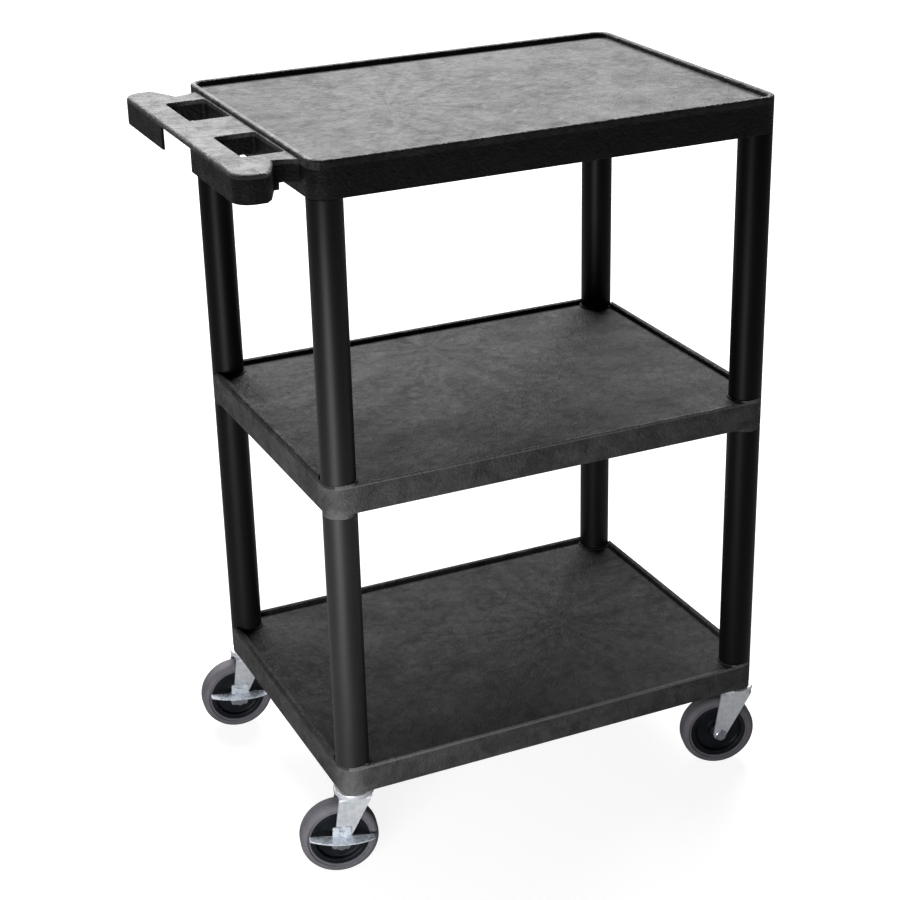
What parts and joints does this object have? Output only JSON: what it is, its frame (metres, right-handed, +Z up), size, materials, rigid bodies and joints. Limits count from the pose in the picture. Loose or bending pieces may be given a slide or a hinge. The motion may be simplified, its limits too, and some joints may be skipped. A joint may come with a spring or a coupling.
{
  "type": "rolling utility cart",
  "caption": "Rolling utility cart: stacked black plastic shelves on round legs, a push handle with finger openings at one end, and swivel casters, those at the handle end with side brakes.",
  "frame": {"origin": "on the floor, under the middle of the whole cart, handle included", "axes": "+X along the shelves, away from the handle; +Y across the cart, away from the open front edges of the lower shelves; +Z up"},
  "size_m": [0.7062, 0.4776, 0.9465],
  "materials": {
    "shelf_plastic": "leather grain",
    "leg_plastic": "satin",
    "zinc_plated": "bright zinc",
    "inner_steel": "plain",
    "fastener_steel": "zinc",
    "ball_steel": "polished",
    "wheel_plastic": "satin",
    "tyre": "soft rubber"
  },
  "bodies": {
    "frame": {"top_shelf": "shelf_plastic", "middle_shelf": "shelf_plastic", "bottom_shelf": "shelf_plastic", "upper_leg_front_left": "leg_plastic", "upper_leg_back_left": "leg_plastic", "upper_leg_front_right": "leg_plastic", "upper_leg_back_right": "leg_plastic", "lower_leg_front_left": "leg_plastic", "lower_leg_back_left": "leg_plastic", "lower_leg_front_right": "leg_plastic", "lower_leg_back_right": "leg_plastic", "stem_front_left": "inner_steel", "stem_back_left": "inner_steel", "stem_front_right": "inner_steel", "stem_back_right": "inner_steel", "grip_ring_front_left": "inner_steel", "grip_ring_back_left": "inner_steel", "grip_ring_front_right": "inner_steel", "grip_ring_back_right": "inner_steel", "stem_socket_front_left": "inner_steel", "stem_socket_back_left": "inner_steel", "stem_socket_front_right": "inner_steel", "stem_socket_back_right": "inner_steel", "swivel_cap_front_left": "zinc_plated", "swivel_cap_back_left": "zinc_plated", "swivel_cap_front_right": "zinc_plated", "swivel_cap_back_right": "zinc_plated"},
    "swivel_front_left": {"fork_front_left": "zinc_plated", "swivel_balls_front_left": "ball_steel", "axle_bolt_front_left": "fastener_steel", "axle_nut_front_left": "fastener_steel", "axle_sleeve_front_left": "inner_steel", "brake_spring_front_left": "inner_steel"},
    "wheel_front_left": {"wheel_core_front_left": "wheel_plastic", "tyre_front_left": "tyre"},
    "brake_front_left": {"brake_lever_front_left": "zinc_plated"},
    "swivel_back_left": {"fork_back_left": "zinc_plated", "swivel_balls_back_left": "ball_steel", "axle_bolt_back_left": "fastener_steel", "axle_nut_back_left": "fastener_steel", "axle_sleeve_back_left": "inner_steel", "brake_spring_back_left": "inner_steel"},
    "wheel_back_left": {"wheel_core_back_left": "wheel_plastic", "tyre_back_left": "tyre"},
    "brake_back_left": {"brake_lever_back_left": "zinc_plated"},
    "swivel_front_right": {"fork_front_right": "zinc_plated", "swivel_balls_front_right": "ball_steel", "axle_bolt_front_right": "fastener_steel", "axle_nut_front_right": "fastener_steel", "axle_sleeve_front_right": "inner_steel"},
    "wheel_front_right": {"wheel_core_front_right": "wheel_plastic", "tyre_front_right": "tyre"},
    "swivel_back_right": {"fork_back_right": "zinc_plated", "swivel_balls_back_right": "ball_steel", "axle_bolt_back_right": "fastener_steel", "axle_nut_back_right": "fastener_steel", "axle_sleeve_back_right": "inner_steel"},
    "wheel_back_right": {"wheel_core_back_right": "wheel_plastic", "tyre_back_right": "tyre"}
  },
  "joints": [
    {"name": "swivel_turn_front_left", "type": "hinge", "parent": "frame", "child": "swivel_front_left", "pos_m": [-0.24657, -0.201, 0.118], "axis": [0, 0, 1], "continuous": true},
    {"name": "wheel_roll_front_left", "type": "hinge", "parent": "swivel_front_left", "child": "wheel_front_left", "pos_m": [-0.26791, -0.19568, 0.0508], "axis": [-0.2419, -0.9703, 0], "continuous": true},
    {"name": "brake_press_front_left", "type": "hinge", "parent": "swivel_front_left", "child": "brake_front_left", "pos_m": [-0.26791, -0.19568, 0.0508], "axis": [-0.2419, -0.9703, 0], "range_deg": [0, 12]},
    {"name": "swivel_turn_back_left", "type": "hinge", "parent": "frame", "child": "swivel_back_left", "pos_m": [-0.24657, 0.201, 0.118], "axis": [0, 0, 1], "continuous": true},
    {"name": "wheel_roll_back_left", "type": "hinge", "parent": "swivel_back_left", "child": "wheel_back_left", "pos_m": [-0.26835, 0.20406, 0.0508], "axis": [-0.1392, -0.9903, 0], "continuous": true},
    {"name": "brake_press_back_left", "type": "hinge", "parent": "swivel_back_left", "child": "brake_back_left", "pos_m": [-0.26835, 0.20406, 0.0508], "axis": [-0.1392, -0.9903, 0], "range_deg": [0, 12]},
    {"name": "swivel_turn_front_right", "type": "hinge", "parent": "frame", "child": "swivel_front_right", "pos_m": [0.32243, -0.201, 0.118], "axis": [0, 0, 1], "continuous": true},
    {"name": "wheel_roll_front_right", "type": "hinge", "parent": "swivel_front_right", "child": "wheel_front_right", "pos_m": [0.30139, -0.19457, 0.0508], "axis": [-0.2924, -0.9563, 0], "continuous": true},
    {"name": "swivel_turn_back_right", "type": "hinge", "parent": "frame", "child": "swivel_back_right", "pos_m": [0.32243, 0.201, 0.118], "axis": [0, 0, 1], "continuous": true},
    {"name": "wheel_roll_back_right", "type": "hinge", "parent": "swivel_back_right", "child": "wheel_back_right", "pos_m": [0.30163, 0.20816, 0.0508], "axis": [-0.3256, -0.9455, 0], "continuous": true}
  ]
}
